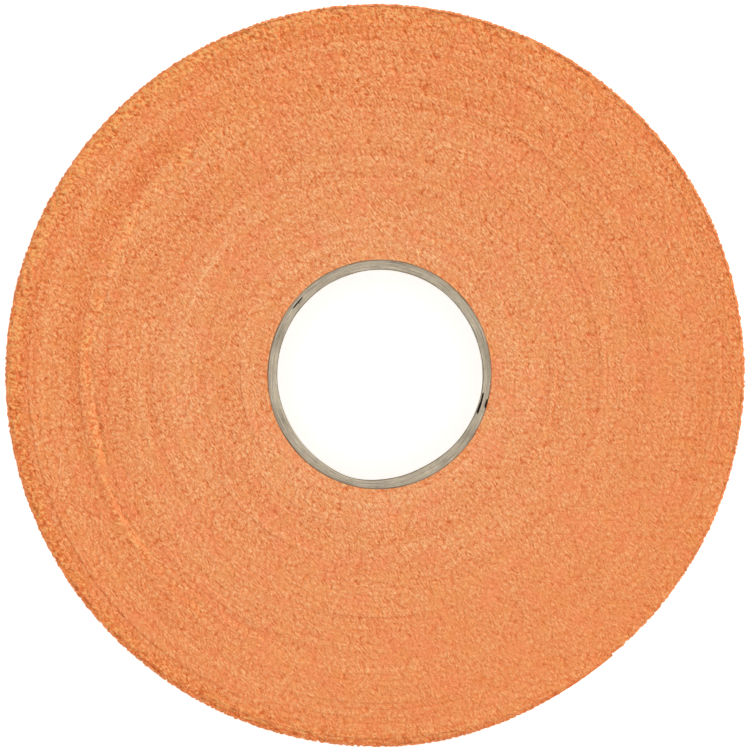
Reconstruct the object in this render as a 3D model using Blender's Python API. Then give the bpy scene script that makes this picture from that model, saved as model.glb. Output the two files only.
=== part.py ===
"""Roll of towelling grip tape for racket handles, wound on a three-ply cardboard core.

The roll lies on one end face. +Z is the core's axis, z = 0 is the face that the roll rests on, and the
origin is the middle of the rim. Lengths are in metres and angles in degrees, anticlockwise from +X as seen
from above. The tape is wound outwards anticlockwise. Its last stretch, the tail, is cut into short arcs
that hinge on each other, so that it can be peeled off the roll.
"""

import math

import bmesh
import bpy
from mathutils import Vector

# The roll
TAPE_WIDTH = 0.030
RIM_RADIUS = 0.0678  # mean radius of the outermost turn's outer face
TURN_PITCH = 0.0013  # how much the radius grows with each turn
TAPE_END = -50.0  # where the tape's cut end lies on the rim
COLUMN_STEP = 4.0  # angle between the vertical edges of a curved wall
CLEARANCE = 0.0003  # between pieces that touch

# The tail
SEGMENTS = 4
SEGMENT_ARC = 14.0
TAIL_THICKNESS = 0.0011
LINER_THICKNESS = 0.00012
LINER_WIDTH = 0.027
LINER_CLEARANCE = 0.0002

# The core
BORE_RADIUS = 0.0190
CORE_WALL = 0.00175
CORE_CENTRE = (0.0008, 0.0001)  # the tape is wound a little off centre
CORE_OVAL = 0.013  # the core is squeezed: its radius varies by this share either way
CORE_LONG_AXIS = 80.0
PLY_CLEARANCE = 0.00022
PLY_HELIX = 34.0  # angle at which the paper strips are wound on the mandrel
# Angle of each strip's butt seam on the upper end face, and how wide the seam stands open.
PLY_SEAMS = (
    ("core_inner_ply", -16.0, 12.0),
    ("core_middle_ply", 139.0, 8.0),
    ("core_outer_ply", -15.0, 5.0),
)

# The strip that sticks the tape's inner end to the core
STRIP_START = TAPE_END + 4
STRIP_ARC = 50.0
STRIP_WIDTH = 0.024
STRIP_THICKNESS = 0.0002

TAIL_ROOT = TAPE_END - SEGMENTS * SEGMENT_ARC
POCKET_DEPTH = TAIL_THICKNESS + LINER_THICKNESS + 2 * LINER_CLEARANCE
STRIP_POCKET = STRIP_THICKNESS + CLEARANCE
EDGE_STEP = 0.5  # angle over which a pocket's edge steps in

# Linear colour, roughness
ORANGE = ((0.819, 0.294, 0.113), 0.95)
GREYBOARD = ((0.414, 0.343, 0.255), 0.9)
GREYBOARD_DARK = ((0.33, 0.28, 0.21), 0.9)
RELEASE_PAPER = ((0.82, 0.80, 0.74), 0.45)
ADHESIVE_STRIP = ((0.75, 0.73, 0.66), 0.4)


def clear_scene():
    for obj in list(bpy.data.objects):
        bpy.data.objects.remove(obj, do_unlink=True)


def material(name, look):
    colour, roughness = look
    made = bpy.data.materials.new(name)
    made.use_nodes = True
    shader = made.node_tree.nodes["Principled BSDF"]
    shader.inputs["Base Color"].default_value = (*colour, 1.0)
    shader.inputs["Roughness"].default_value = roughness
    shader.inputs["Metallic"].default_value = 0.0
    return made


def direction(angle):
    return Vector((math.cos(math.radians(angle)), math.sin(math.radians(angle))))


def core_point(angle, radius):
    """The point at this angle on the squeezed circle of this mean radius round the core's axis."""
    squeeze = CORE_OVAL * math.cos(math.radians(2 * (angle - CORE_LONG_AXIS)))
    return Vector(CORE_CENTRE) + direction(angle) * radius * (1 + squeeze)


def rim_point(angle, depth=0.0):
    """The point at this angle on the rim, at this depth under the outermost turn's outer face.

    The rim is one turn of a spiral that ends at TAPE_END. Its own centre is set off from the origin by
    TURN_PITCH / pi, which leaves the nearest circle to it centred on the origin.
    """
    centre = direction(TAPE_END + 90) * TURN_PITCH / math.pi
    turn = ((angle - TAPE_END) % 360) / 360 or 1.0
    return centre + direction(angle) * (RIM_RADIUS + TURN_PITCH * (turn - 0.5) - depth)


def angles(start, stop):
    """Evenly spaced angles from start to stop, about COLUMN_STEP apart."""
    count = max(2, round((stop - start) / COLUMN_STEP))
    return [start + (stop - start) * i / count for i in range(count + 1)]


def walled(name, columns, origin, look, closed=False):
    """An object whose wall stands on columns of (inner point, outer point, low z, high z).

    The faces run from each column to the next, and a wall that isn't closed gets an end face at each end.
    """
    body = bmesh.new()
    rows = []
    for inner, outer, low, high in columns:
        corners = ((inner, low), (outer, low), (outer, high), (inner, high))
        rows.append([body.verts.new(Vector((p.x, p.y, z)) - origin) for p, z in corners])
    steps = list(zip(rows, rows[1:] + rows[:1])) if closed else list(zip(rows, rows[1:]))
    for here, there in steps:
        for i in range(4):
            j = (i + 1) % 4
            body.faces.new((here[i], there[i], there[j], here[j]))
    if not closed:
        body.faces.new(reversed(rows[0]))
        body.faces.new(rows[-1])
    bmesh.ops.recalc_face_normals(body, faces=body.faces)
    mesh = bpy.data.meshes.new(name)
    body.to_mesh(mesh)
    body.free()
    mesh.shade_smooth()
    mesh.set_sharp_from_angle(angle=math.radians(30))
    mesh.materials.append(material(name, look))
    obj = bpy.data.objects.new(name, mesh)
    obj.location = origin
    bpy.context.collection.objects.link(obj)
    return obj


def core_ply(name, number, seam, opening):
    """A ply of the core: a paper strip wound on a helix, whose edges nearly meet at a slanting butt seam."""
    thickness = (CORE_WALL - (len(PLY_SEAMS) - 1) * PLY_CLEARANCE) / len(PLY_SEAMS)
    inner_radius = BORE_RADIUS + number * (thickness + PLY_CLEARANCE)
    seam_rise_in_a_turn = 2 * math.pi * BORE_RADIUS * math.tan(math.radians(PLY_HELIX))
    lean = 360 * TAPE_WIDTH / seam_rise_in_a_turn
    start = seam + opening / 2 - lean
    length = 360 - opening + lean
    tip = COLUMN_STEP / 4  # the strip's sharp corners are blunted by this much
    columns = []
    for along in [tip] + angles(COLUMN_STEP, lean) + angles(lean, length - lean)[1:-1] + [
        *angles(length - lean, length - COLUMN_STEP),
        length - tip,
    ]:
        low = TAPE_WIDTH * max(0.0, (along - (length - lean)) / lean)
        high = TAPE_WIDTH * min(1.0, along / lean)
        angle = start + along
        inner = core_point(angle, inner_radius)
        outer = core_point(angle, inner_radius + thickness)
        columns.append((inner, outer, low, high))
    look = GREYBOARD_DARK if number == 1 else GREYBOARD
    return walled(name, columns, Vector((0, 0, 0)), look)


def wound_tape():
    """Every turn but the tail, as one packed ring with a pocket under the tail and one over the start strip."""
    bore = BORE_RADIUS + CORE_WALL + CLEARANCE
    strip_end = STRIP_START + STRIP_ARC
    stops = (TAIL_ROOT, TAPE_END, STRIP_START, strip_end, TAIL_ROOT + 360)
    columns = []
    for start, stop in zip(stops, stops[1:]):
        depth = POCKET_DEPTH if start == TAIL_ROOT else 0.0
        recess = STRIP_POCKET if start == STRIP_START else 0.0
        step = 0.0 if depth or recess else EDGE_STEP
        for angle in angles(start + step, stop - step):
            inner = core_point(angle, bore + recess)
            columns.append((inner, rim_point(angle, depth), 0.0, TAPE_WIDTH))
    return walled("towelling_tape", columns, Vector((0, 0, 0)), ORANGE, closed=True)


def start_strip():
    """The double-sided strip between the core and the tape's inner end."""
    low = (TAPE_WIDTH - STRIP_WIDTH) / 2
    radius = BORE_RADIUS + CORE_WALL + CLEARANCE
    columns = [
        (core_point(a, radius), core_point(a, radius + STRIP_THICKNESS), low, TAPE_WIDTH - low)
        for a in angles(STRIP_START + 2, STRIP_START + STRIP_ARC - 2)
    ]
    return walled("start_strip", columns, Vector((0, 0, 0)), ADHESIVE_STRIP)


def joint_axis(name, point, parent=None):
    """An empty on a hinge's axis. What is parented to it turns about that axis."""
    empty = bpy.data.objects.new(name, None)
    empty.empty_display_size = 0.01
    here = Vector((point.x, point.y, TAPE_WIDTH / 2))
    empty["hinge"] = here[:]
    empty.location = here if parent is None else here - Vector(parent["hinge"])
    empty.parent = parent
    bpy.context.collection.objects.link(empty)
    return empty


def arc_piece(name, start, depth, thickness, width, axis, look):
    """One segment of the tail, or of the release liner under it, hung on its hinge's empty."""
    half_gap = math.degrees(CLEARANCE / 2 / RIM_RADIUS)
    low = (TAPE_WIDTH - width) / 2
    columns = [
        (rim_point(a, depth + thickness), rim_point(a, depth), low, TAPE_WIDTH - low)
        for a in angles(start + half_gap, start + SEGMENT_ARC - half_gap)
    ]
    obj = walled(name, columns, Vector(axis["hinge"]), look)
    obj.location = (0, 0, 0)
    obj.parent = axis
    return obj


def tail():
    """The tail's segments, each hinged on the one before it at the tape's outer face."""
    liner_depth = TAIL_THICKNESS + LINER_CLEARANCE
    axis = None
    for number in range(1, SEGMENTS + 1):
        start = TAIL_ROOT + (number - 1) * SEGMENT_ARC
        before = axis
        axis = joint_axis(f"tail_axis_{number}", rim_point(start), before)
        arc_piece(f"tail_tape_{number}", start, 0.0, TAIL_THICKNESS, TAPE_WIDTH, axis, ORANGE)
        holder = axis
        if number == SEGMENTS:
            holder = joint_axis("liner_axis", rim_point(start, POCKET_DEPTH - LINER_CLEARANCE), before)
        arc_piece(
            f"tail_liner_{number}", start, liner_depth, LINER_THICKNESS, LINER_WIDTH, holder, RELEASE_PAPER
        )


def main():
    clear_scene()
    for number, (name, seam, opening) in enumerate(PLY_SEAMS):
        core_ply(name, number, seam, opening)
    start_strip()
    wound_tape()
    tail()


main()
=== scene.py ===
"""The looks of a roll of towelling grip tape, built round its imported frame.

The tape is one long ribbon wound on a spiral, from the core out to its cut end on the rim. Every vertex of
it has a count of turns and a place on the ribbon's cross-section, and the looped pile is pushed out of that
surface by a seeded scatter of loops. Lengths are in metres and angles in radians.
"""

import math

import bpy
import numpy as np
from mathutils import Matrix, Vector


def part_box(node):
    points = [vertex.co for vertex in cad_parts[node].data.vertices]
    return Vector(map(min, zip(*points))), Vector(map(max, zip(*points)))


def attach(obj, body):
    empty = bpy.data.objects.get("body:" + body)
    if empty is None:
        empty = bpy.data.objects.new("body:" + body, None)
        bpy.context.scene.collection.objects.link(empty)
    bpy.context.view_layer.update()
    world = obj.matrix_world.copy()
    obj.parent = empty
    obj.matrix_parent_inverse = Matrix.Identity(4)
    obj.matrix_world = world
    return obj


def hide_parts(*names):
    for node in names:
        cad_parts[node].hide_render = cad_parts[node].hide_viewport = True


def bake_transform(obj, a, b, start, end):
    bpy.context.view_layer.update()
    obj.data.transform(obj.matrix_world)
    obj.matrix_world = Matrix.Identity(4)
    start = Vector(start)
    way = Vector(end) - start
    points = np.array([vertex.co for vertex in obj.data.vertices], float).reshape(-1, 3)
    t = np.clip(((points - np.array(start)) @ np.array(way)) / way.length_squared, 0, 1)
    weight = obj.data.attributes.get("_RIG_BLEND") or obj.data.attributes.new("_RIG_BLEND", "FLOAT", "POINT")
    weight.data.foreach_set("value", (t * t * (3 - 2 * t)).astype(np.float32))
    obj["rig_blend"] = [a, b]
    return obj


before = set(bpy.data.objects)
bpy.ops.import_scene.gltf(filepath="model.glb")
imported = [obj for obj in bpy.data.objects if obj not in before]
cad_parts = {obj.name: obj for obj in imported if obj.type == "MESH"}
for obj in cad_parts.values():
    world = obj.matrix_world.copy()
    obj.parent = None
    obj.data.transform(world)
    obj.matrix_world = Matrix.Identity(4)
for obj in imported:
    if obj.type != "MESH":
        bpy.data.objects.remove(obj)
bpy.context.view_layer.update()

MM = 0.001
TURN = 2 * math.pi

# The roll, as the frame has it
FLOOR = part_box("towelling_tape")[0].z
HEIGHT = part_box("towelling_tape")[1].z - FLOOR
RIM_RADIUS = 67.8 * MM
TURNS = 36
TAPE_START = 0.05  # the count of turns at which the modelled tape starts
TURN_PITCH = 1.3 * MM
TAPE_END = math.radians(-50)
SEGMENTS = 4
SEGMENT_ARC = math.radians(14)
TAIL_ROOT = TAPE_END - SEGMENTS * SEGMENT_ARC
RIM_CENTRE = TURN_PITCH / math.pi * np.array([-math.sin(TAPE_END), math.cos(TAPE_END)])
CORE_CENTRE = np.array([0.8 * MM, 0.1 * MM])
CORE_OVAL = 0.013
CORE_LONG_AXIS = math.radians(80)
BORE_RADIUS = 19.0 * MM
CORE_WALL = 1.75 * MM
CORE_GAP = 0.05 * MM  # between the core and the tape's first turn
# Where the core's wall is pressed thinner or swollen, on its bore side: angle, spread, thickness added
CORE_DENTS = [
    (math.radians(-6), math.radians(20), -0.28 * MM),
    (math.radians(-62), math.radians(16), 0.34 * MM),
    (math.radians(-105), math.radians(14), -0.38 * MM),
    (math.radians(-150), math.radians(16), 0.18 * MM),
]

# The towelling's loops
LOOP_LENGTH = 1.08 * MM  # spacing of the loops along the tape
LOOP_ROW = 1.12 * MM  # and across it
LOOP_JITTER = 0.7  # how far a loop strays, as a share of its cell
END_PILE = 0.21 * MM  # height of the loops on the roll's end faces
RIM_PILE = 0.22 * MM  # and of the ground between the rim's yarn loops
YARN_SPACING = 0.98 * MM
YARN_ROW = 1.0 * MM
YARN_RADIUS = 0.14 * MM
YARN_HEIGHT = 0.62 * MM
YARN_FOOT = 0.33 * MM  # half the length of a yarn loop's foot
YARN_LEAN = 0.55 * MM  # how far its top may lean over, from one side to the other
YARN_SUNK = 0.52 * MM  # how deep its foot goes under the ribbon's face
END_SEED, RIM_SEED, YARN_SEED = 11, 12, 21

# The towelling's relief
FINE_BUMP = 0.42 * MM  # size of the finest bumps on the end faces
RIM_BUMP = 0.40 * MM  # and on the rim
SWELL = 6 * MM  # size of the broad swells on the end faces
SWELL_LIFT = 0.10 * MM
SLACK_CHANGES = 9  # how often in a turn the winding gets tighter or slacker
SLACK_LIFT = 0.09 * MM  # how far the slackest turns stand out of the end face
SEAM_DROP = 0.03 * MM  # how far the pile dips between two turns
CREVICE_RADIUS = 53.0 * MM
CREVICE_WIDTH = 0.8 * MM
CREVICE_LIFT = 0.24 * MM  # how far the turns beside the crevice stand up
PIT = 0.75 * MM  # size of the pits in the roughest places
PIT_DEPTH = 0.24 * MM
SHOULDER = 1.4 * MM  # how far in from the rim the end faces round off
SHOULDER_DROP = 0.22 * MM
CORNER = 1.0 * MM  # how far down from the end faces the rim rounds off
CORNER_DROP = 0.12 * MM
COVERED_DEPTH = 0.25 * MM  # how far the pile under another turn is pressed in
EDGE_BAND = 1.2 * MM  # how deep the finely modelled edges of the turns go
LINER_SHARE = 0.05  # how much of a turn's thickness the release liner takes, where it shows
END_PRESSED = 45 * MM  # length over which the tape's cut end is pressed thin
END_THINNED = 0.70  # share of its thickness that the cut end loses
BEND_REACH = 0.42  # how far the tail bends on each side of a hinge, as a share of a segment's arc

# Where the towelling is rougher, lighter or darker
ROUGH_SIDE = math.radians(118)  # the direction in which the end face's pile gets rougher
RING_LIGHT_AND_SHADE = 0.60  # how much lighter or darker the painted light and shade makes the winding's rings
PIT_SHADE = 1.1  # how much darker the pits are, in painted shade
FADE_RADIUS = 21 * MM  # from here outwards the orange gets deeper

# The core's plies: seam angle on the upper end face, opening, and the pocket where the plies have parted:
# its angle, half its width, how far it goes into the ply, all on the ply's outer side
PLY_HELIX = math.radians(34)
PLY_SEAMS = {
    "core_inner_ply": (math.radians(-16), math.radians(12)),
    "core_middle_ply": (math.radians(139), math.radians(8)),
    "core_outer_ply": (math.radians(-15), math.radians(5)),
}
PLY_POCKETS = {
    "core_inner_ply": (math.radians(-15.9), math.radians(6.1), 0.42 * MM),
    "core_middle_ply": (math.radians(138.8), math.radians(4.1), 0.26 * MM),
    "core_outer_ply": (math.radians(-15.2), math.radians(2.6), 0.34 * MM),
}
POCKET_DEPTH = 9 * MM
PLY_FILL = 0.995  # a ply's share of its place in the wall
FRAY = 0.030 * MM  # height of the fibres that stand out of a ply's cut edge
STREAK = 0.035 * MM  # height of the ridges along it
PLY_SWELL = 0.03 * MM  # how uneven the plies' faces are
CORE_ROUNDING = 0.14 * MM  # how far the core's end faces round off at both corners
CORE_SETBACK = 0.04 * MM  # how far the core's end faces lie inside the tape's width
BORE_TRIM = 0.18 * MM  # how far the bore's face is set back from its nominal radius
STRIP_START = TAPE_END + math.radians(4)
STRIP_ARC = math.radians(50)
STRIP_MARGIN = 3 * MM  # between the start strip's edges and the tape's
STRIP_GAP = 0.01 * MM  # between the core and the start strip
STRIP_THICKNESS = 0.03 * MM

# The photo's view and the studio
PHOTO_FILL = 0.986  # share of the photo's width that the roll's mean rim spans
CAMERA_AWAY = 3.0
SENSOR_WIDTH = 36.0  # in millimetres, like the lens


def unit(angle):
    return np.stack([np.cos(angle), np.sin(angle)], -1)


def smooth(value, low, high):
    t = np.clip((value - low) / (high - low), 0, 1)
    return t * t * (3 - 2 * t)


# ---------------------------------------------------------------- the winding


def core_xy(angle, radius):
    """Points on the squeezed circle of this mean radius round the core's axis."""
    squeeze = 1 + CORE_OVAL * np.cos(2 * (angle - CORE_LONG_AXIS))
    return CORE_CENTRE + unit(angle) * (radius * squeeze)[..., None]


def rim_xy(angle):
    """Points on the circle that the ribbon's outer face reaches at its end."""
    return RIM_CENTRE + unit(angle) * (RIM_RADIUS + TURN_PITCH / 2)


def wound_xy(turns, share):
    """Points of the ribbon after this many turns, at this share of its thickness from its inner face.

    The first turn starts thin, pressed flat on the core, and thickens until the second turn covers it.
    """
    angle = TAPE_END + TURN * turns
    inner = np.maximum(turns - 1, 0) / TURNS
    depth = (inner + share * (turns / TURNS - inner))[..., None]
    touching = np.full_like(angle, BORE_RADIUS + CORE_WALL + CORE_GAP)
    return core_xy(angle, touching) * (1 - depth) + rim_xy(angle) * depth


def measure_winding():
    """(turns, length) at places all along the ribbon's outer face."""
    turns = np.linspace(TAPE_START, TURNS, TURNS * 180)
    path = wound_xy(turns, np.ones_like(turns))
    steps = np.linalg.norm(np.diff(path, axis=0), axis=1)
    return turns, np.concatenate([[0.0], np.cumsum(steps)])


TURNS_ALONG, LENGTH_ALONG = measure_winding()


def length_at(turns):
    return np.interp(turns, TURNS_ALONG, LENGTH_ALONG)


def turns_at(angle):
    """The count of turns at which the outermost turn passes this angle."""
    return TURNS - (TAPE_END - angle) / TURN


# ---------------------------------------------------------------- noise and loops


def lattice(seed, size=64):
    return np.random.default_rng(seed).random((size, size, size)) * 2 - 1


LATTICES = {seed: lattice(seed) for seed in range(8)}


def noise(x, y, z, seed):
    """Smooth noise from -1 to 1, with one random value per unit cell."""
    grid = LATTICES[seed]
    size = len(grid)
    cells, fades = [], []
    for value in np.broadcast_arrays(x, y, z):
        low = np.floor(value)
        part = value - low
        cells.append(low.astype(np.int64) % size)
        fades.append(part * part * (3 - 2 * part))
    total = 0.0
    for i in (0, 1):
        for j in (0, 1):
            for k in (0, 1):
                corner = grid[(cells[0] + i) % size, (cells[1] + j) % size, (cells[2] + k) % size]
                weight = fades[0] if i else 1 - fades[0]
                weight = weight * (fades[1] if j else 1 - fades[1])
                weight = weight * (fades[2] if k else 1 - fades[2])
                total = total + corner * weight
    return total


def lean_angle(choice, amount, share, mostly, otherwise, spread):
    """Angles spread round one of two directions, the first of them for this share of the loops."""
    return np.where(choice < share, mostly, otherwise) + spread * (amount - 0.5)


def scatter(row, place_in, seed, slender=0.58):
    """A scatter of leaning loops laid out in rows: (height from 0 to 1, the loop's own random number).

    place_in(number) gives the position along that row and how many loops the row has, or None if it doesn't
    close on itself. Each loop is an oval dome, longer than it is wide, that leans one way or the other.
    """
    far = 9.0
    reach = 1.05  # of a loop's dome from its middle, in cells
    table = np.random.default_rng(seed).random((64, 512, 4))
    nearest = np.full(row.shape, far)
    second = np.full(row.shape, far)
    tone = np.zeros(row.shape)
    home = np.floor(row).astype(np.int64)
    for number in (home - 1, home, home + 1):
        place, count = place_in(number)
        start = np.floor(place).astype(np.int64)
        for loop in (start - 1, start, start + 1):
            own = table[number % 64, (loop if count is None else loop % count) % 512]
            across = row - number - 0.5 - LOOP_JITTER * (own[..., 0] - 0.5)
            along = place - loop - 0.5 - LOOP_JITTER * (own[..., 1] - 0.5)
            lean = lean_angle(own[..., 3], own[..., 3], 0.6, 0.7, -0.8, 1.2)
            long = across * np.cos(lean) + along * np.sin(lean)
            wide = (along * np.cos(lean) - across * np.sin(lean)) / slender
            distance = np.hypot(long, wide)
            tone = np.where(distance < nearest, own[..., 2], tone)
            second = np.minimum(second, np.maximum(nearest, distance))
            nearest = np.minimum(nearest, distance)
    dome = np.sqrt(np.clip(1 - (nearest / reach) ** 2, 0, 1))
    crease = smooth(second - nearest, 0, 0.4)
    return dome * (0.55 + 0.45 * crease), tone


def loops_on_end(xy, seed):
    """The scatter on an end face, in rings round the roll that wander a little."""
    wander = 0.35 * MM
    x = xy[..., 0] + wander * noise(xy[..., 0] / MM, xy[..., 1] / MM, seed, 6)
    y = xy[..., 1] + wander * noise(xy[..., 0] / MM, xy[..., 1] / MM, seed + 7.5, 6)
    angle = np.arctan2(y, x) % TURN

    def place_in(number):
        count = np.maximum(1, np.round(TURN * (number + 0.5) * LOOP_ROW / LOOP_LENGTH)).astype(np.int64)
        return angle / TURN * count, count

    return scatter(np.hypot(x, y) / LOOP_ROW, place_in, seed)


def loops_on_rim(along, z, seed):
    """The scatter on the ribbon's face, in rows that run along it and wander a little."""
    wander = 0.30 * MM
    along = along + wander * noise(along / MM, z / MM, seed, 6)
    z = z + wander * noise(along / MM, z / MM, seed + 7.5, 6)

    def place_in(number):
        return along / LOOP_LENGTH + 0.5 * (number % 2), None

    return scatter(z / LOOP_ROW, place_in, seed, slender=0.66)


# ---------------------------------------------------------------- meshes


class Part:
    """Points, faces and what the faces wear, before they become a mesh.

    quads are rows of four corners, caps are faces with any number of them, and uv has a row for each corner
    of the quads.
    """

    def __init__(self, points, quads, caps=(), uv=None, crisp=None, **attributes):
        self.points = points.reshape(-1, 3)
        self.quads = quads.reshape(-1, 4)
        self.caps = [list(cap) for cap in caps]
        self.uv = np.zeros((self.quads.size, 2)) if uv is None else uv.reshape(-1, 2)
        self.crisp = np.zeros(len(self.points), bool) if crisp is None else crisp.ravel()
        self.attributes = {key: values.ravel() for key, values in attributes.items()}


def mesh_object(name, *parts):
    """One object made of these parts. An edge between two crisp points is a sharp one."""
    starts = np.cumsum([0] + [len(part.points) for part in parts])
    faces = []
    for part, start in zip(parts, starts):
        faces += (part.quads + start).tolist()
    for part, start in zip(parts, starts):
        faces += [[corner + int(start) for corner in cap] for cap in part.caps]
    mesh = bpy.data.meshes.new(name)
    mesh.from_pydata(np.concatenate([part.points for part in parts]), [], faces)
    for key in parts[0].attributes:
        values = np.concatenate([part.attributes[key] for part in parts]).astype(np.float32)
        mesh.attributes.new(key, "FLOAT", "POINT").data.foreach_set("value", values)
    uv = np.zeros((len(mesh.loops), 2), np.float32)
    worn = np.concatenate([part.uv for part in parts])
    uv[: len(worn)] = worn
    mesh.uv_layers.new(name="surface").data.foreach_set("uv", uv.ravel())
    mesh.shade_smooth()
    crisp = np.concatenate([part.crisp for part in parts])
    ends = np.empty(2 * len(mesh.edges), np.int32)
    mesh.edges.foreach_get("vertices", ends)
    sharp = crisp[ends].reshape(-1, 2).all(1)
    mesh.attributes.new("sharp_edge", "BOOLEAN", "EDGE").data.foreach_set("value", sharp)
    obj = bpy.data.objects.new(name, mesh)
    bpy.context.scene.collection.objects.link(obj)
    return obj


def tube(points, uv, flat=None, flat_uv=None, crisp=None, **attributes):
    """A closed tube. points is (stations, around, 3) and uv is (stations, around, 2).

    Where flat says so, a strip of faces takes flat_uv instead.
    """
    stations, around = points.shape[:2]
    row = np.arange(stations - 1)[:, None] * around
    here = np.arange(around)[None]
    there = (here + 1) % around
    quads = np.stack([row + here, row + there, row + around + there, row + around + here], -1)
    laid = uv.reshape(-1, 2)[quads]
    if flat is not None:
        laid = np.where(flat[None, :, None, None], flat_uv.reshape(-1, 2)[quads], laid)
    last = (stations - 1) * around
    caps = [range(around - 1, -1, -1), range(last, last + around)]
    crisp = np.broadcast_to(False if crisp is None else crisp, (stations, around)).copy()
    crisp[[0, -1]] = True
    return Part(points, quads, caps, laid, crisp, **attributes)


# ---------------------------------------------------------------- the tape


UPPER, OUTER, LOWER = 1.0, 0.0, -1.0


def edge_section(sign, across):
    """The cross-section of one edge of the ribbon, down to EDGE_BAND.

    Its rows, and those of the other cross-sections, are: share, height, side, how far the pile may rise.
    """
    face = FLOOR + HEIGHT if sign > 0 else FLOOR
    root = face - sign * EDGE_BAND
    points = [(0.0, root, sign, 0.0)]
    points += [(share, face, sign, 1.0) for share in np.linspace(0, 1, across + 1)]
    points += [(1.0, root, sign, 0.0)]
    return np.array(points if sign > 0 else points[::-1])


def middle_section():
    """The cross-section between the two edges, where the turns only press on each other."""
    low, high = FLOOR + EDGE_BAND, FLOOR + HEIGHT - EDGE_BAND
    heights = [(0.0, low), (0.0, high), (1.0, high), (1.0, low)]
    return np.array([(share, z, OUTER, 0.0) for share, z in heights])


def faced_section(across, rows, inner):
    """The whole cross-section, with its outer face in rows: for the turn whose pile shows on the rim."""
    low, high = FLOOR, FLOOR + HEIGHT
    points = [(inner, z, OUTER, 0.0) for z in np.linspace(low + EDGE_BAND, high - EDGE_BAND, 6)]
    points += [(share, high, UPPER, 1.0) for share in np.linspace(0, 1, across + 1)[:-1]]
    points += [(1.0, z, OUTER, 1.0) for z in np.linspace(high, low, rows + 1)]
    points += [(share, low, LOWER, 1.0) for share in np.linspace(1, 0, across + 1)[1:]]
    return np.array(points)


def rough_side(xy):
    """How far towards the side of the roll where the pile is roughest, from -1 to 1."""
    return xy @ unit(ROUGH_SIDE) / RIM_RADIUS


def liveliness(xy):
    """How rough the pile is there: rougher on the rough side and along the rim, smoother opposite."""
    radius = np.linalg.norm(xy, axis=-1) / RIM_RADIUS
    return 1.0 + 0.27 * rough_side(xy) * smooth(radius, 0.3, 0.8) + 0.30 * smooth(radius, 0.92, 1.0)


def crevice(xy):
    """A few turns on the left that stand apart, with a broken rough crevice beside them, from -1 to 1."""
    radius = np.linalg.norm(xy, axis=-1)
    angle = np.degrees(np.arctan2(xy[..., 1], xy[..., 0])) % 360
    wander = CREVICE_WIDTH * noise(angle / 8, 0, 0, 5)
    offset = (radius - CREVICE_RADIUS - wander) / CREVICE_WIDTH
    arc = smooth(angle, 95, 135) * (1 - smooth(angle, 215, 265))
    broken = 0.5 + 0.6 * noise(angle / 2.1, 1, 0, 5)
    ridge = np.exp(-((offset - 0.6) ** 2))
    groove = np.exp(-((offset + 0.9) ** 2) * 2)
    return (ridge - groove) * arc * broken


def rough_patches(xy, parted):
    """Where the pile is roughest and its orange deepest: at the crevice, the rim and the rough side."""
    radius = np.linalg.norm(xy, axis=-1) / RIM_RADIUS
    leftward = 0.5 - 0.5 * xy[..., 0] / RIM_RADIUS
    by_rim = (0.25 + 0.6 * leftward) * smooth(radius, 0.945, 0.98)
    on_side = 0.35 * np.maximum(0, rough_side(xy)) * smooth(radius, 0.60, 0.85)
    return np.abs(parted) + by_rim + on_side


def ring_light_and_shade(xy, slack):
    """Lighter and darker rings of painted light and shade, where turns wound tighter or looser would tilt:
    strongest on the left.
    """
    radius = np.linalg.norm(xy, axis=-1)
    around = 1.3 * xy / radius[..., None] + 5
    wide = noise(radius / (2.6 * MM), around[..., 0], around[..., 1], 5)
    narrow = noise(radius / (0.8 * MM), around[..., 0] * 1.7, around[..., 1] * 1.7, 4)
    strength = 1 - 0.5 * xy[..., 0] / RIM_RADIUS
    return RING_LIGHT_AND_SHADE * strength * (0.6 * wide + 0.9 * narrow + 0.5 * slack)


def pressed_at(along):
    """The ribbon's thickness there, as a share of its full one: its cut end is pressed flat."""
    return 1 - END_THINNED * (1 - smooth(length_at(TURNS) - along, 0, END_PRESSED))


def end_lift(xy, z, side, share, loops, slack, parted, pits):
    """How far the pile on an end face stands above the face's flat."""
    fine = noise(xy[..., 0] / FINE_BUMP, xy[..., 1] / FINE_BUMP, z / MM, 2)
    swell = noise(xy[..., 0] / SWELL, xy[..., 1] / SWELL, side, 3)
    seam = np.abs(2 * share - 1) ** 6
    lift = END_PILE * liveliness(xy) * (loops - 0.6 + 0.22 * fine)
    lift = lift + SWELL_LIFT * swell + SLACK_LIFT * slack - SEAM_DROP * seam
    lift = lift + CREVICE_LIFT * parted - PIT_DEPTH * pits
    past = np.linalg.norm(xy - RIM_CENTRE, axis=-1) - (RIM_RADIUS - SHOULDER)
    return lift - SHOULDER_DROP * (np.maximum(0, past) / SHOULDER) ** 2


def rim_push(along, z, turns, loops):
    """How far the ribbon's outer face moves outwards: out with the pile, or in where a turn covers it."""
    fine = noise(along / RIM_BUMP, z / RIM_BUMP, 5.5, 2)
    covered = smooth(TURNS - 1 - turns, 0, 0.002)
    flat = smooth(np.minimum(z - FLOOR, FLOOR + HEIGHT - z), 0, CORNER)
    bare = RIM_PILE * (loops - 1.3 + 0.25 * fine) - CORNER_DROP * (1 - flat)
    return bare * (1 - covered) * pressed_at(along) - COVERED_DEPTH * flat * covered


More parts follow.
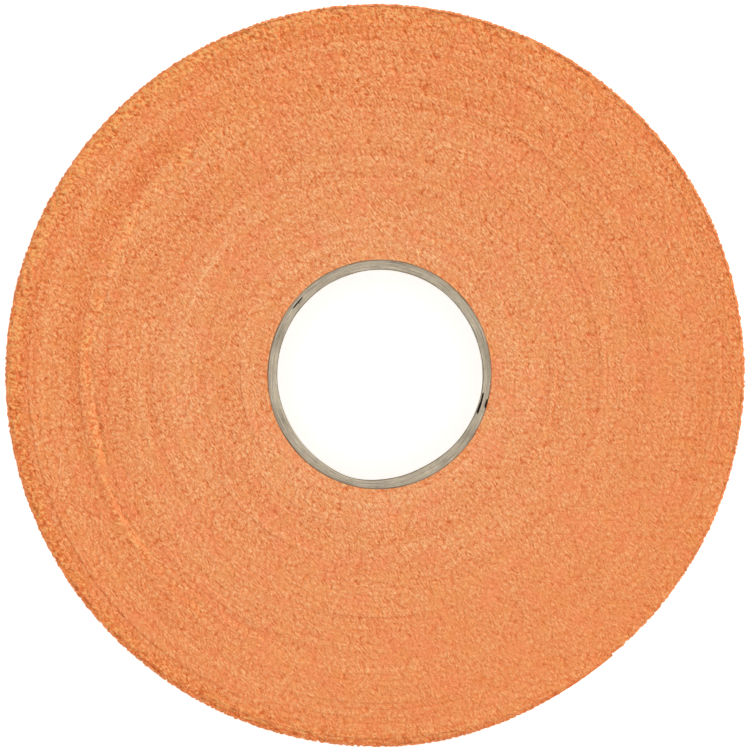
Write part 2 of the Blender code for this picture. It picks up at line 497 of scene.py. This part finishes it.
def ribbon(first, last, section, station):
    """A stretch of the tape between two counts of turns, with its pile."""
    count = max(2, round((length_at(last) - length_at(first)) / station) + 1)
    along = np.linspace(length_at(first), length_at(last), count)[:, None]
    turns = np.interp(along, LENGTH_ALONG, TURNS_ALONG)
    share, z, side, rises = (section[:, i][None] for i in range(4))
    xy = wound_xy(turns + 0 * share, share * pressed_at(along))

    end_loops, end_tone = loops_on_end(xy, END_SEED)
    rim_loops, rim_tone = loops_on_rim(along, z + 0 * along, RIM_SEED)
    slack = noise(turns * SLACK_CHANGES, 0, side, 4)
    parted = crevice(xy)
    gold = rough_patches(xy, parted)
    # The pits, dug into the pile and also darkened with painted shade
    pits = gold * smooth(noise(xy[..., 0] / PIT, xy[..., 1] / PIT, side, 1), 0.10, 0.50)

    outer = side == OUTER
    attributes = {
        # the loops' height, which the material paints as light on their tops and shade between them
        "pile": np.where(outer, rim_loops, end_loops),
        # The end faces' tone carries painted light and shade in rings and painted shade in the pits
        "tone": np.where(outer, rim_tone, end_tone + ring_light_and_shade(xy, slack) - PIT_SHADE * pits),
        "gold": gold,
        "fade": (np.linalg.norm(xy, axis=-1) - FADE_RADIUS) / (RIM_RADIUS - FADE_RADIUS),
        "lively": liveliness(xy) + 0.45 * gold,
    }

    push = rim_push(along, z, turns, rim_loops) * np.where(outer & (share == 1), rises, 0)
    lift = end_lift(xy, z, side, share, end_loops, slack, parted, pits) * rises
    xy = xy + unit(TAPE_END + TURN * turns + 0 * share) * push[..., None]
    height = np.clip(z + np.sign(side) * lift, FLOOR, None)
    points = np.concatenate([xy, height[..., None]], -1)
    on_end = side[0] != OUTER
    crisp = on_end & (rises[0] > 0) & ((share[0] == 0) | (share[0] == 1))
    face_uv = np.stack(np.broadcast_arrays(along, z), -1)
    return tube(points, face_uv, on_end & np.roll(on_end, -1), xy, crisp, **attributes)


def hoops(height, lean):
    """Half hoops of yarn: (points of (along, across, out), how far each bend is round the hoop).

    The points are (hoops, bends, sides, 3), and a hoop's ends go a little way down past its middle.
    """
    bend = np.linspace(-0.12, 1.12, 6)[None] * math.pi
    foot = YARN_FOOT * np.cos(bend) + 0 * height
    path = np.stack([foot, lean * np.sin(bend), height * np.sin(bend)], -1)
    forward = np.gradient(path, axis=1)
    forward /= np.linalg.norm(forward, axis=-1, keepdims=True)
    beside = np.array([0.0, 1.0, 0.0]) - forward * forward[..., 1:2]
    beside /= np.linalg.norm(beside, axis=-1, keepdims=True)
    above = np.cross(forward, beside)
    around = np.arange(3) / 3 * TURN + 0.5
    ring = np.cos(around)[:, None] * beside[:, :, None] + np.sin(around)[:, None] * above[:, :, None]
    return path[:, :, None] + YARN_RADIUS * ring, bend


def hoop_faces(count, bends, sides):
    """The quads of this many hoops, and the two caps of each."""
    hoop = np.arange(count)[:, None, None] * bends * sides
    base = hoop + np.arange(bends - 1)[None, :, None] * sides
    here = np.arange(sides)[None, None]
    there = (here + 1) % sides
    quads = np.stack([base + here, base + there, base + sides + there, base + sides + here], -1)
    feet = hoop[:, 0]
    caps = np.concatenate([feet + [2, 1, 0], feet + (bends - 1) * sides + [0, 1, 2]]).tolist()
    return quads, caps


def yarn_loops(first, last):
    """The loops of yarn that stand out of the ribbon's face between two counts of turns."""
    start, stop = (math.ceil(length_at(turns) / YARN_SPACING) for turns in (first, last))
    columns = np.arange(start, stop)
    rows = np.arange(int(HEIGHT / YARN_ROW))
    table = np.random.default_rng(YARN_SEED).random((1024, len(rows), 7))
    own = table[columns % 1024].reshape(-1, 7)
    column, row = (grid.ravel() for grid in np.meshgrid(columns, rows, indexing="ij"))
    along = (column + 0.5 * (row % 2) + 0.9 * (own[:, 0] - 0.5)) * YARN_SPACING
    along = np.minimum(along, length_at(TURNS) - 0.5 * MM)
    z = FLOOR + (row + 0.5 + 0.8 * (own[:, 1] - 0.5)) * HEIGHT / len(rows)
    z = np.clip(z, FLOOR + 0.30 * MM, FLOOR + HEIGHT - 0.26 * MM)

    height = YARN_HEIGHT * (0.75 + 0.5 * own[:, 4]) * (0.4 + 0.6 * pressed_at(along))
    hoop, bend = hoops(height[:, None], YARN_LEAN * (own[:, 5] - 0.5)[:, None])
    facing = lean_angle(own[:, 2], own[:, 3], 0.62, 0.75, -0.7, 1.1)[:, None, None]
    onto_along = hoop[..., 0] * np.cos(facing) - hoop[..., 1] * np.sin(facing)
    onto_z = hoop[..., 0] * np.sin(facing) + hoop[..., 1] * np.cos(facing)
    here = along[:, None, None] + onto_along
    turns = np.interp(here, LENGTH_ALONG, TURNS_ALONG)
    out = unit(TAPE_END + TURN * turns)
    xy = wound_xy(turns, pressed_at(here)) + out * (hoop[..., 2] - YARN_SUNK)[..., None]
    height_z = np.clip(z[:, None, None] + onto_z, FLOOR, None)
    points = np.concatenate([xy, height_z[..., None]], -1)

    # The strands run along the yarn, and each hoop has a place of its own in the pattern
    count, bends, sides = points.shape[:3]
    own = own[:, :, None, None]
    pattern = 40 * MM
    reach = np.linspace(0, 1.6 * MM, bends)[None, :, None] + pattern * own[:, 6]
    wrap = np.arange(sides)[None, None] * 0.3 * MM + pattern * own[:, 0]
    uv = np.stack(np.broadcast_arrays(reach, wrap), -1)
    # Painted shade low on each hoop and painted light at its top, through the material
    pile = 0.35 + 0.65 * np.clip(np.sin(bend), 0, 1)[..., None] + 0 * wrap
    looks = {"pile": pile, "tone": own[:, 6], "gold": 0.5, "fade": 1.0, "lively": 1.0}
    attributes = {key: value + 0 * pile for key, value in looks.items()}
    quads, caps = hoop_faces(count, bends, sides)
    return Part(points, quads, caps, uv.reshape(-1, 2)[quads], **attributes)


# ---------------------------------------------------------------- the core


def ply_section():
    """A ply's cross-section, in rows of: share of its thickness, share of its height, which end face."""
    rise = np.concatenate([np.linspace(0, 0.7, 7)[1:], np.linspace(0.7, 1, 9)[1:-1]])
    shares = np.linspace(0, 1, 6)
    section = [(0.0, r, 0.0) for r in rise]
    section += [(s, 1.0, 1.0) for s in shares]
    section += [(1.0, r, 0.0) for r in rise[::-1]]
    section += [(s, 0.0, -1.0) for s in shares[::-1]]
    return np.array(section)


def dented(angle):
    """How much thickness the core's dents and swellings add at this angle."""
    total = 0.0
    for at, spread, more in CORE_DENTS:
        away = (angle - at + math.pi) % TURN - math.pi
        total = total + more * np.exp(-((away / spread) ** 2))
    return total


def core_ply(name, number):
    """A ply of the core: greyboard wound on a helix, with a pocket where it has parted from the next."""
    seam, opening = PLY_SEAMS[name]
    pocket, half_width, pocket_width = PLY_POCKETS[name]
    thickness = CORE_WALL / len(PLY_SEAMS)
    lean = HEIGHT / (BORE_RADIUS * math.tan(PLY_HELIX))
    closed = opening * 0.94  # how much of the seam's opening the strip's edges have drawn together
    start, length = seam + opening / 2 - lean - closed / 2, TURN - opening + closed + lean
    tip = math.radians(1)  # the strip's sharp corners are blunted by this much
    along = np.linspace(tip, length - tip, 1300)[:, None]
    low = FLOOR + HEIGHT * np.maximum(0, (along - (length - lean)) / lean)
    high = FLOOR + HEIGHT * np.minimum(1, along / lean)

    share, lift, upward = (ply_section()[:, i][None] for i in range(3))
    angle = start + along + 0 * share
    z = low + (high - low) * lift
    arc = angle * BORE_RADIUS
    place = number + share  # in the wall, in plies outwards from the bore
    away = np.abs((angle - pocket + math.pi) % TURN - math.pi)
    bottom = FLOOR + HEIGHT - POCKET_DEPTH
    depth = smooth(half_width - away, 0, math.radians(0.8)) * smooth(z, bottom - 3 * MM, bottom)
    swell = PLY_SWELL * noise(arc / (4 * MM), z / (6 * MM), 9.0, 3)
    swell = swell - dented(angle) * (1 - place / len(PLY_SEAMS)) + BORE_TRIM * (place < 0.01)
    wall = BORE_RADIUS + thickness * (number + share * PLY_FILL) - share * depth * pocket_width + swell
    xy = core_xy(angle, wall)

    fray = FRAY * noise(arc / (0.30 * MM), place, 7.0, 2)
    streak = STREAK * noise(arc / (5 * MM), place * 4.5, 2.0, 3)
    rounding = CORE_ROUNDING * (np.abs(2 * place / len(PLY_SEAMS) - 1) ** 8)
    ends = np.abs(upward) * (fray + streak - rounding - CORE_SETBACK)
    height = np.maximum(z + np.sign(upward) * ends, FLOOR)
    points = np.concatenate([xy, height[..., None]], -1)
    flat = upward[0] != 0
    side_uv = np.stack(np.broadcast_arrays(arc, z), -1)
    end_uv = np.stack(np.broadcast_arrays(arc, place * thickness + 0.5), -1)
    # How far out in the wall, for painted shade beside the tape
    outline = smooth(place, 2.35, len(PLY_SEAMS)) + 0 * angle
    corner = flat & ((share[0] == 0) | (share[0] == 1))
    part = tube(points, side_uv, flat & np.roll(flat, -1), end_uv, corner, outline=outline)
    return mesh_object(name + "_paper", part)


def start_strip():
    """The thin double-sided strip that holds the tape's first centimetres on the core."""
    angle = np.linspace(STRIP_START, STRIP_START + STRIP_ARC, 90)[:, None]
    section = np.array([(0, 0), (0, 1), (1, 1), (1, 0)], float)
    share, lift = section[:, 0][None], section[:, 1][None]
    radius = BORE_RADIUS + CORE_WALL + STRIP_GAP + STRIP_THICKNESS * share + 0 * angle
    xy = core_xy(angle + 0 * share, radius)
    z = FLOOR + STRIP_MARGIN + (HEIGHT - 2 * STRIP_MARGIN) * lift + 0 * angle
    points = np.concatenate([xy, z[..., None]], -1)
    return mesh_object("start_strip_film", tube(points, np.stack([angle * radius, z], -1)))


def liner(name, first, last):
    """A stretch of the release liner on the tape's inner face."""
    count = max(2, round((length_at(last) - length_at(first)) / MM) + 1)
    along = np.linspace(length_at(first), length_at(last), count)[:, None]
    turns = np.interp(along, LENGTH_ALONG, TURNS_ALONG)
    margin = EDGE_BAND + 0.2 * MM
    rise = np.linspace(0, 1, 15)
    section = [(0.0, r) for r in rise] + [(LINER_SHARE * 0.9, r) for r in rise[::-1]]
    share, lift = (np.array(section)[:, i][None] for i in range(2))
    z = FLOOR + margin + (HEIGHT - 2 * margin) * lift + 0 * turns
    xy = wound_xy(turns + 0 * share, share + 0 * turns)
    crinkle = 0.015 * MM * noise(along / (4 * MM), z / (5 * MM), 3.0, 3)
    xy = xy + unit(TAPE_END + TURN * turns + 0 * share) * crinkle[..., None]
    points = np.concatenate([xy, z[..., None]], -1)
    return mesh_object(name, tube(points, np.stack([along + 0 * z, z], -1)))


# ---------------------------------------------------------------- materials


class Shader:
    """A material's node tree, with a Principled shader already in it."""

    def __init__(self, name):
        self.material = bpy.data.materials.new(name)
        self.material.use_nodes = True
        self.tree = self.material.node_tree
        self.principled = self.tree.nodes["Principled BSDF"]

    def put(self, value, socket):
        if isinstance(value, bpy.types.NodeSocket):
            self.tree.links.new(value, socket)
        else:
            socket.default_value = value

    def node(self, kind, inputs=None, **settings):
        made = self.tree.nodes.new("ShaderNode" + kind)
        for key, value in settings.items():
            setattr(made, key, value)
        for key, value in (inputs or {}).items():
            self.put(value, made.inputs[key])
        return made

    def set(self, **values):
        for key, value in values.items():
            self.put(value, self.principled.inputs[key.replace("_", " ")])

    def maths(self, operation, *values):
        made = self.node("Math", operation=operation)
        for socket, value in zip(made.inputs, values):
            self.put(value, socket)
        return made.outputs[0]

    def swing(self, value, middle, amount, onto=0.0):
        """onto, plus this amount of the value's distance from its middle."""
        return self.maths("MULTIPLY_ADD", self.maths("SUBTRACT", value, middle), amount, onto)

    def mix(self, factor, a, b, blend="MIX"):
        made = self.node("Mix", data_type="RGBA", blend_type=blend)
        self.put(factor, made.inputs["Factor"])
        self.put(a, made.inputs["A"])
        self.put(b, made.inputs["B"])
        return made.outputs["Result"]

    def noise(self, vector, scale, detail=2.0):
        """Noise with this many cells in a metre, or in a unit of the vector."""
        return self.node("TexNoise", {"Vector": vector, "Scale": scale, "Detail": detail}).outputs["Fac"]

    def attribute(self, name):
        return self.node("Attribute", attribute_name=name).outputs["Fac"]

    def place(self):
        return self.node("TexCoord").outputs["Object"]

    def step(self, value, low, high, top=1.0):
        """0 below low, rising to top at high."""
        inputs = {"Value": value, "From Min": low, "From Max": high, "To Max": top}
        return self.node("MapRange", inputs, interpolation_type="SMOOTHSTEP").outputs["Result"]

    def ramp(self, value, *stops):
        made = self.node("ValToRGB", {"Fac": value})
        elements = made.color_ramp.elements
        while len(elements) < len(stops):
            elements.new(0.5)
        for element, (position, tint) in zip(elements, stops):
            element.position = position
            element.color = tint
        return made.outputs["Color"]

    def strands(self, turn, length, width):
        """Short stripes of this length and width, at this angle on the surface."""
        uv = self.node("UVMap", uv_map="surface").outputs["UV"]
        turned = self.node("Mapping", {"Vector": uv, "Rotation": (0, 0, turn)}).outputs[0]
        laid = self.node("Mapping", {"Vector": turned, "Scale": (1 / length, 1 / width, 1)}).outputs[0]
        return self.noise(laid, 1.0, 1.5)


def colour(red, green, blue):
    return (red, green, blue, 1.0)


def towelling():
    """Looped cotton, dyed orange: fine strands, painted shade between the loops and painted light on their
    tops, and a few pale flecks.
    """
    s = Shader("towelling")
    place = s.place()
    gold = s.attribute("gold")
    mostly = s.strands(math.radians(55), 0.80 * MM, 0.28 * MM)
    crossing = s.strands(math.radians(-40), 0.70 * MM, 0.26 * MM)
    choice = s.step(s.noise(place, 850.0, 0.0), 0.30, 0.42)
    chosen = s.maths("MULTIPLY", mostly, choice)
    strand = s.maths("MULTIPLY_ADD", crossing, s.maths("SUBTRACT", 1.0, choice), chosen)
    grain = s.noise(place, 2300.0, 1.0)
    fibre = s.noise(place, 4600.0, 1.0)

    value = s.swing(strand, 0.5, 1.5)
    value = s.swing(grain, 0.5, 0.45, value)
    value = s.swing(fibre, 0.5, 0.30, value)
    # Painted light and shade: lighter on the loops' tops, darker down between them
    value = s.swing(s.attribute("pile"), 0.6, 0.34, value)
    # Tone: the loops' own, plus painted light and shade in rings and painted shade in the pits
    value = s.swing(s.attribute("tone"), 0.5, 0.12, value)
    value = s.maths("MULTIPLY_ADD", value, s.attribute("lively"), 0.48)
    body = s.ramp(
        value,
        (0.00, colour(0.67, 0.130, 0.034)),
        (0.28, colour(0.84, 0.255, 0.085)),
        (0.54, colour(0.905, 0.356, 0.143)),
        (1.00, colour(0.99, 0.600, 0.310)),
    )

    pink, tan = colour(0.97, 0.280, 0.130), colour(0.90, 0.355, 0.110)
    deep, straw = colour(0.96, 0.300, 0.075), colour(1.00, 0.62, 0.24)
    rim_tint = colour(0.985, 0.85, 0.74)
    body = s.mix(s.step(s.noise(place, 190.0, 3.0), 0.48, 0.68, 0.30), body, pink)
    body = s.mix(s.step(s.noise(place, 310.0, 2.0), 0.50, 0.68, 0.35), body, tan)
    body = s.mix(s.maths("MULTIPLY", gold, 0.34), body, deep)
    fleck = s.maths("MULTIPLY_ADD", gold, 0.19, s.strands(math.radians(14), 0.9 * MM, 0.5 * MM))
    body = s.mix(s.step(fleck, 0.67, 0.77, 0.66), body, straw)
    body = s.mix(s.attribute("fade"), body, rim_tint, "MULTIPLY")

    relief = s.maths("MULTIPLY_ADD", strand, 0.7, s.maths("MULTIPLY_ADD", fibre, 0.35, grain))
    bump = s.node("Bump", {"Strength": 0.8, "Distance": 0.30 * MM, "Height": relief})
    s.set(Base_Color=body, Roughness=0.95, Specular_IOR_Level=0.12, Normal=bump.outputs["Normal"])
    s.set(Sheen_Weight=0.12, Sheen_Roughness=0.5, Sheen_Tint=colour(1.0, 0.72, 0.5))
    return s.material


def greyboard(name, tone):
    """Unbleached paperboard: fibres and streaks along the strip, blotches, and painted shade on the outer
    edge, beside the tape.
    """
    s = Shader(name)
    streaks = s.strands(0.0, 5.0 * MM, 0.16 * MM)
    fibres = s.strands(math.radians(7), 0.9 * MM, 0.12 * MM)
    value = s.maths("MULTIPLY_ADD", streaks, 0.65, s.maths("MULTIPLY", fibres, 0.35))
    value = s.swing(s.noise(s.place(), 260.0, 2.0), 0.5, 0.30, value)
    board = np.array([0.425, 0.360, 0.268]) * tone
    shades = ((0.30, 0.52), (0.50, 1.0), (0.70, 1.42))
    body = s.ramp(value, *((at, colour(*(board * share))) for at, share in shades))
    # Painted shade: the outer edge darkened and greyed where the tape's first turn stands beside it
    edge = s.maths("MULTIPLY", s.attribute("outline"), 0.28)
    body = s.mix(edge, body, colour(0.62, 0.62, 0.60), "MULTIPLY")
    bump = s.node("Bump", {"Strength": 0.3, "Distance": 0.10 * MM, "Height": value})
    s.set(Base_Color=body, Roughness=0.88, Specular_IOR_Level=0.3, Normal=bump.outputs["Normal"])
    return s.material


def release_paper():
    """Siliconed paper: pale, satin, with a faint cloudy formation."""
    s = Shader("release_paper")
    cloud = s.noise(s.place(), 420.0, 4.0)
    body = s.ramp(cloud, (0.35, colour(0.74, 0.71, 0.64)), (0.65, colour(0.86, 0.84, 0.78)))
    gloss = s.maths("MULTIPLY_ADD", cloud, 0.2, 0.3)
    bump = s.node("Bump", {"Strength": 0.15, "Distance": 0.10 * MM, "Height": cloud})
    s.set(Base_Color=body, Roughness=gloss, Normal=bump.outputs["Normal"])
    return s.material


def adhesive_strip():
    """Thin tissue strip with a tacky coat."""
    s = Shader("adhesive_strip")
    tissue = s.noise(s.place(), 1800.0, 3.0)
    body = s.ramp(tissue, (0.35, colour(0.62, 0.60, 0.50)), (0.7, colour(0.82, 0.80, 0.72)))
    s.set(Base_Color=body, Roughness=s.maths("MULTIPLY_ADD", tissue, 0.25, 0.25))
    return s.material


def floor_material():
    s = Shader("studio_table")
    s.set(Base_Color=colour(0.90, 0.90, 0.90), Roughness=0.7, Specular_IOR_Level=0.2)
    s.set(Emission_Color=colour(1, 1, 1), Emission_Strength=0.62)
    return s.material


def finish(obj, material, slot, *nodes):
    """Gives a piece its material, and hides the CAD nodes that it replaces."""
    obj.data.materials.append(material)
    if nodes:
        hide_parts(*nodes)
    return obj


# ---------------------------------------------------------------- assembly


def stretches(first, last, parts):
    """(first, last) counts of turns of stretches of equal length between two counts of turns."""
    stops = np.linspace(length_at(first), length_at(last), parts + 1)
    stops = np.interp(stops, LENGTH_ALONG, TURNS_ALONG)
    return list(zip(stops, stops[1:]))


def build_wound_tape(cloth):
    """All of the tape that stays on the roll: its middle, the turns' upper and lower edges, and the rim."""
    under_tail = turns_at(TAIL_ROOT) - 1 - SEGMENT_ARC / TURN
    leaving = turns_at(TAIL_ROOT - SEGMENT_ARC / 2)
    pieces = [mesh_object("turns_middle", ribbon(TAPE_START, under_tail, middle_section(), 3 * MM))]
    edges = (("upper", UPPER, 6, 0.30 * MM, 4), ("lower", LOWER, 2, 0.7 * MM, 1))
    for side, sign, across, station, parts in edges:
        for number, (first, last) in enumerate(stretches(TAPE_START, under_tail, parts), 1):
            edge = ribbon(first, last, edge_section(sign, across), station)
            pieces.append(mesh_object(f"turns_{side}_edge_{number}", edge))
    faced = faced_section(across=6, rows=50, inner=0.0)
    pieces.append(mesh_object("outer_turn_ground", ribbon(under_tail, leaving, faced, 0.50 * MM)))
    pressed_under = turns_at(TAPE_END) - 1
    for number, (first, last) in enumerate(stretches(pressed_under, leaving, 3), 1):
        pieces.append(mesh_object(f"outer_turn_loops_{number}", yarn_loops(first, last)))
    for piece in pieces:
        finish(piece, cloth, "towelling")
        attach(piece, "roll")
    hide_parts("towelling_tape")


def point_on_rim(angle):
    x, y = wound_xy(np.array([turns_at(angle)]), np.ones(1))[0]
    return (x, y, FLOOR + HEIGHT / 2)


def build_tail(cloth, paper):
    """The tail and its liner, each piece bending across one hinge."""
    faced = faced_section(across=6, rows=50, inner=LINER_SHARE)
    bodies = ["roll"] + [f"tail_{n}" for n in range(1, SEGMENTS + 1)]
    reach = BEND_REACH * SEGMENT_ARC
    for number in range(SEGMENTS):
        hinge = TAIL_ROOT + number * SEGMENT_ARC
        first = turns_at(hinge - SEGMENT_ARC / 2)
        last = turns_at(TAPE_END if number == SEGMENTS - 1 else hinge + SEGMENT_ARC / 2)
        start, end = point_on_rim(hinge - reach), point_on_rim(hinge + reach)
        before, after = bodies[number], bodies[number + 1]
        ground = ribbon(first, last, faced, 0.50 * MM)
        tape = mesh_object(f"tail_{number + 1}_towelling", ground, yarn_loops(first, last))
        finish(tape, cloth, "towelling", f"tail_tape_{number + 1}")
        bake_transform(tape, before, after, start, end)
        film = liner(f"liner_{number + 1}_paper", first, last)
        finish(film, paper, "release_paper", f"tail_liner_{number + 1}")
        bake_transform(film, before, "liner_end" if number == SEGMENTS - 1 else after, start, end)


def build_core():
    # The inner ply lighter for a painted highlight at the bore's edge, the outer ply darker for painted
    # shade beside the tape
    ply_light_and_shade = {"core_inner_ply": 1.10, "core_middle_ply": 1.03, "core_outer_ply": 0.98}
    for number, (name, tone) in enumerate(ply_light_and_shade.items()):
        slot = "greyboard_dark" if number == 1 else "greyboard"
        piece = finish(core_ply(name, number), greyboard(name, tone), slot, name)
        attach(piece, "roll")
    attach(finish(start_strip(), adhesive_strip(), "adhesive_strip", "start_strip"), "roll")


def distant_light(name, towards, softness, strength):
    """A light from that direction. strength is what a face turned to it would give off if it were white."""
    data = bpy.data.lights.new(name, "SUN")
    data.angle = softness
    data.energy = strength * math.pi
    lamp = bpy.data.objects.new(name, data)
    lamp.location = towards
    lamp.rotation_mode = "QUATERNION"
    lamp.rotation_quaternion = lamp.location.to_track_quat("Z", "Y")
    bpy.context.scene.collection.objects.link(lamp)


def backdrop():
    """A pale table that sweeps up into a wall all round, a good way off."""
    flat, bend, top = 4.5, 0.45, 1.6
    near = [(0.02, 0.0), (0.3, 0.0), (flat, 0.0)]
    sweep = [(flat + bend * math.sin(a), bend * (1 - math.cos(a))) for a in np.linspace(0.15, TURN / 4, 8)]
    radius, z = np.array(near + sweep + [(flat + bend, top)]).T
    xy = unit(np.linspace(0, TURN, 97)[:-1])[:, None] * radius[None, :, None]
    under = FLOOR - 0.2 * MM
    points = np.concatenate([xy, np.broadcast_to(under + z, xy.shape[:2])[..., None]], -1)
    around, out = points.shape[:2]
    here = (np.arange(around)[:, None] * out + np.arange(out - 1)[None]).ravel()
    there = (here + out) % (around * out)
    quads = np.stack([here, here + 1, there + 1, there], -1)
    middle = [step * out for step in range(around)]
    return mesh_object("studio_backdrop", Part(points, quads, [middle]))


def build_studio():
    """A pale table, soft lights and a camera straight above the end face."""
    table = backdrop()
    table.data.materials.append(floor_material())

    world = bpy.data.worlds.new("studio")
    world.use_nodes = True
    background = world.node_tree.nodes["Background"]
    background.inputs["Color"].default_value = (1.0, 1.0, 1.0, 1.0)
    background.inputs["Strength"].default_value = 0.26
    bpy.context.scene.world = world
    distant_light("overhead", (0.0, 0.0, 1.0), math.radians(24), 0.28)
    distant_light("key", (0.69, 0.49, 0.53), math.radians(14), 0.57)
    distant_light("fill", (-0.60, -0.70, 0.35), math.radians(40), 0.16)

    view_width = 2 * RIM_RADIUS / PHOTO_FILL
    data = bpy.data.cameras.new("camera")
    data.sensor_width = SENSOR_WIDTH
    data.lens = SENSOR_WIDTH * CAMERA_AWAY / view_width
    data.clip_end = 10.0
    camera = bpy.data.objects.new("camera", data)
    camera.location = (0.0, 0.0, FLOOR + HEIGHT + CAMERA_AWAY)
    bpy.context.scene.collection.objects.link(camera)
    bpy.context.scene.camera = camera
    bpy.context.scene.view_settings.view_transform = "Standard"


cloth = towelling()
build_core()
build_wound_tape(cloth)
build_tail(cloth, release_paper())
build_studio()
